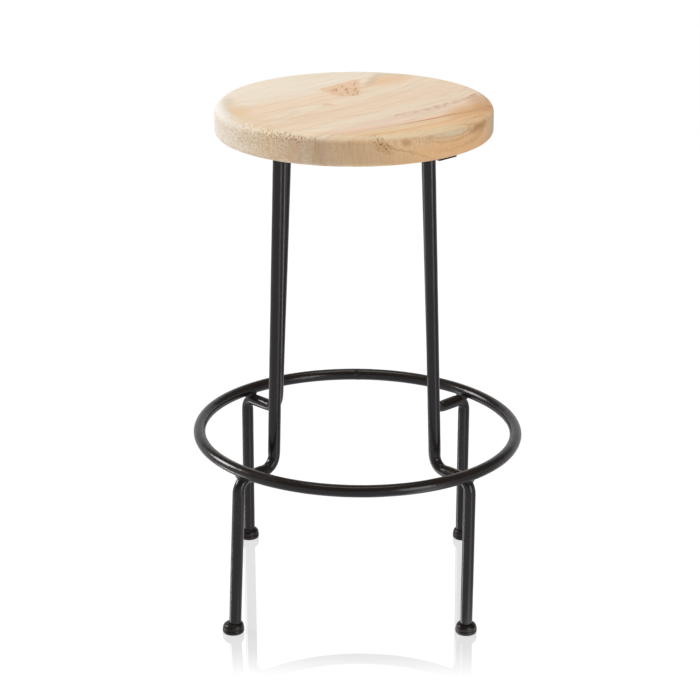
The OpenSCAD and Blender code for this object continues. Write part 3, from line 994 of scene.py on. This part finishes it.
def foot_cap(leg, seed, material):
    """A moulded cap in two tiers, with a groove between them and the rod's bore in its top."""
    node = "foot_cap_" + leg.name
    low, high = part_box(node)
    centre = Vector(((low.x + high.x) / 2, (low.y + high.y) / 2, low.z))
    swell = 0.8 * MM
    cap_r = (high.x - low.x) / 2 + swell
    cap_h = high.z - low.z
    bore_r = leg.rod_r + 0.1 * MM
    base = leg.foot.z - 1.4 * MM
    bottom_round = 2.5 * MM
    groove_z = 0.44 * cap_h
    groove = 0.55 * MM
    upper_r = cap_r - 0.5 * MM
    outline = [(0, 0)] + [(cap_r * s, 0) for s in (0.3, 0.6)]
    outline += arc((cap_r - bottom_round, bottom_round), bottom_round, -90, 10, 10)
    outline += arc((cap_r + 0.1 * MM, groove_z), groove, -110, -250, 8)
    shoulder_c = (bore_r + 0.6 * MM, groove_z + 1.2 * MM)
    squash = (cap_h - shoulder_c[1]) / (upper_r - shoulder_c[0])
    for out, up in arc((0, 0), upper_r - shoulder_c[0], 2, 84, 16):
        outline.append((shoulder_c[0] + out, shoulder_c[1] + up * squash))
    outline += [(bore_r + 0.3 * MM, cap_h - 0.05 * MM), (bore_r, cap_h - 0.5 * MM)]
    outline += [(bore_r, base + (cap_h - base) * s) for s in (0.7, 0.4, 0.1)]
    outline += [(bore_r, base), (0, base)]

    def wobble(point):
        outer = smooth_step(math.hypot(point.x, point.y), bore_r + 0.5 * MM, bore_r + 3 * MM)
        clear = smooth_step(point.z, 0, 2 * MM)
        dent = 0.5 * (1 - drift(point, 6 * MM, seed)) * outer * clear
        return -0.35 * MM * dent, -0.15 * MM * dent * smooth_step(point.z, cap_h / 2, cap_h)

    def follow_rod(point):
        """Inner points move aside with the rod, which doesn't stand in the cap's middle."""
        rod = leg.foot + leg.low_direction * (point.z - leg.foot.z)
        aside = Vector((rod.x - centre.x, rod.y - centre.y, 0))
        share = (cap_r - math.hypot(point.x, point.y)) / (cap_r - bore_r)
        return aside * min(max(share, 0), 1) * smooth_step(point.z, 1 * MM, base)

    points, faces, uvs = turned(outline, 72, wobble)
    shape = [centre + p + follow_rod(p) for p in points], faces, uvs
    mesh_piece(leg.name + "_rubber_foot", shape, material, node)


# -------- CAD nodes that stay


def keep_node(node, material, edge=0):
    """A CAD node that is shown as it is, with its own finish and, on bars, broken edges."""
    part = frame["nodes"][node]
    part.data.materials.clear()
    part.data.materials.append(material)
    if edge:
        weld = part.modifiers.new("join", "WELD")
        weld.merge_threshold = 0.005 * MM
        bevel = part.modifiers.new("edges", "BEVEL")
        bevel.width = edge
        bevel.segments = 3
        bevel.limit_method = "ANGLE"
        bevel.angle_limit = math.radians(40)
        bevel.harden_normals = True


# -------- stage, light and camera


def looked_at(n, rays):
    """1 for the rays to which the white background shows."""
    return n.highest(rays["Is Camera Ray"], rays["Is Glossy Ray"], rays["Is Transmission Ray"])


def floor():
    """A white floor with a faint gloss that fades towards the camera's side, clear from below."""
    half = 16
    mesh = bpy.data.meshes.new("floor")
    corners = [(-half, -half, 0), (half, -half, 0), (half, half, 0), (-half, half, 0)]
    mesh.from_pydata(corners, [], [(0, 1, 2, 3)])
    stage = new_object("floor", mesh)
    stage.location.z = -0.1 * MM
    n = Nodes(bpy.data.materials.new("floor"))
    mesh.materials.append(n.owner)
    rays = n.add("LightPath").outputs
    x, y, _ = n.split(n.add("TexCoord").outputs["Object"])

    # The floor glows white. In the rods' gloss its glow is painted light and shade: darker, most at
    #     the back and the right, with a painted pool of light at the front right
    glow_level = 1.11
    bearing = n.product(n.math("ARCTAN2", y, x), math.degrees(1))
    light_pool = n.product(n.band(bearing, -47, 4, 9), 1.7)
    shade = n.product(n.band(bearing, -8, 12, 12), 0.5)
    in_gloss = n.minus(n.plus(n.step(y, -0.05, 0.25, 0.9, 0.72), light_pool), shade)
    change = n.product(rays["Is Glossy Ray"], n.minus(in_gloss, glow_level))
    glow = n.shader("Emission", Strength=n.plus(glow_level, change))

    # A share of plain white takes the stool's shadow, and the mirror fades out in front
    plain = n.shader("BsdfDiffuse", Color=(0.8, 0.8, 0.8, 1))
    mirror = n.shader("BsdfGlossy", Color=(1, 1, 1, 1), Roughness=0)
    shadow_share = 0.15
    mirror_share = n.step(y, -0.305, -0.175, 0, 0.27)
    seen = n.blend(mirror_share, n.blend(shadow_share, glow, plain), mirror)
    shown = n.blend(looked_at(n, rays), plain, seen)
    from_below = n.product(n.add("NewGeometry").outputs["Backfacing"], rays["Is Camera Ray"])
    n.output("Material", n.blend(from_below, shown, n.shader("BsdfTransparent")))


def world():
    """White where the camera, the floor's mirror or clear glass looks at it, darker overhead in any
    other gloss, and a soft grey as light."""
    ambient = 0.45
    sky = bpy.data.worlds.new("studio")
    bpy.context.scene.world = sky
    n = Nodes(sky)
    rays = n.add("LightPath").outputs
    seen = looked_at(n, rays)
    _, y, z = n.split(n.add("TexCoord").outputs["Generated"])
    horizon = n.step(y, 0.6, 0.88, 0, 0.42)
    in_gloss = n.step(n.minus(z, horizon), 0.08, 0.3, 0.84, 0.15)
    white = n.highest(rays["Is Camera Ray"], rays["Is Singular Ray"], in_gloss)
    lit = n.product(n.minus(1, seen), ambient)
    strength = n.plus(lit, n.product(seen, white))
    n.output("World", n.shader("Background", Color=(1, 1, 1, 1), Strength=strength))


def aimed(name, data, location, turn):
    """A lamp or camera at its place, turned by a quaternion."""
    item = new_object(name, data)
    item.location = location
    item.rotation_mode = "QUATERNION"
    item.rotation_quaternion = turn
    return item


def softbox(name, bearing, height, distance, width, tall, power):
    """An area lamp at a bearing from +X and an angle of height, aimed at the stool's middle. The
    floor's mirror doesn't show it."""
    target = Vector((0, 0, 0.4))
    angle = math.radians(height)
    offset = around(bearing) * math.cos(angle) + UP * math.sin(angle)
    lamp = bpy.data.lights.new(name, "AREA")
    lamp.shape = "RECTANGLE"
    lamp.size = width
    lamp.size_y = tall
    lamp.energy = power
    n = Nodes(lamp)
    in_mirror = n.add("LightPath").outputs["Is Singular Ray"]
    n.output("Light", n.shader("Emission", Strength=n.minus(1, in_mirror)))
    item = aimed(name, lamp, target + offset * distance, offset.to_track_quat("Z", "Y"))
    item.visible_camera = False


def camera():
    """The photograph's view: a long lens above the seat, looking down a little to the left."""
    lens = bpy.data.cameras.new("camera")
    lens.sensor_width = 36
    lens.lens = 119.78
    heading = Matrix.Rotation(math.radians(0.428), 3, "Z")
    pitch = Matrix.Rotation(math.radians(90 - 19.74), 3, "X")
    roll = Matrix.Rotation(math.radians(-0.0863), 3, "Z")
    turn = (heading @ pitch @ roll).to_quaternion()
    bpy.context.scene.camera = aimed("camera", lens, (0.01584, -2.83515, 1.34897), turn)


# -------- build

camera()
world()
floor()
softbox("key", bearing=166, height=21, distance=2.5, width=0.9, tall=0.85, power=42)
softbox("fill", bearing=-50, height=8, distance=2.4, width=0.9, tall=1.2, power=17.5)
softbox("overhead", bearing=90, height=84, distance=2.2, width=1.3, tall=1.3, power=18)

paint = black_paint()
weld = painted_weld()
rubber = black_rubber()
zinc = zinc_steel()

leg_lines = [LegLine(name) for name in LEGS]
ring_line = RingLine(leg_lines[0].rod_r)

seat(seat_wood())
footrest_ring(ring_line, paint)
ring_seam(ring_line, weld)
cross_weld(weld)
for index, leg_line in enumerate(leg_lines):
    leg_rod(leg_line, index + 1, paint)
    ring_weld(leg_line, ring_line, index + 50, weld)
    top_weld(leg_line, index + 60, weld)
    foot_cap(leg_line, index + 70, rubber)
for bar_node in ("seat_bar_upper", "seat_bar_lower"):
    keep_node(bar_node, paint, 0.4 * MM)
for steel_node in ("seat_screws", "bar_spacers", "foot_washers"):
    keep_node(steel_node, zinc)

bpy.context.scene.view_settings.view_transform = "Standard"
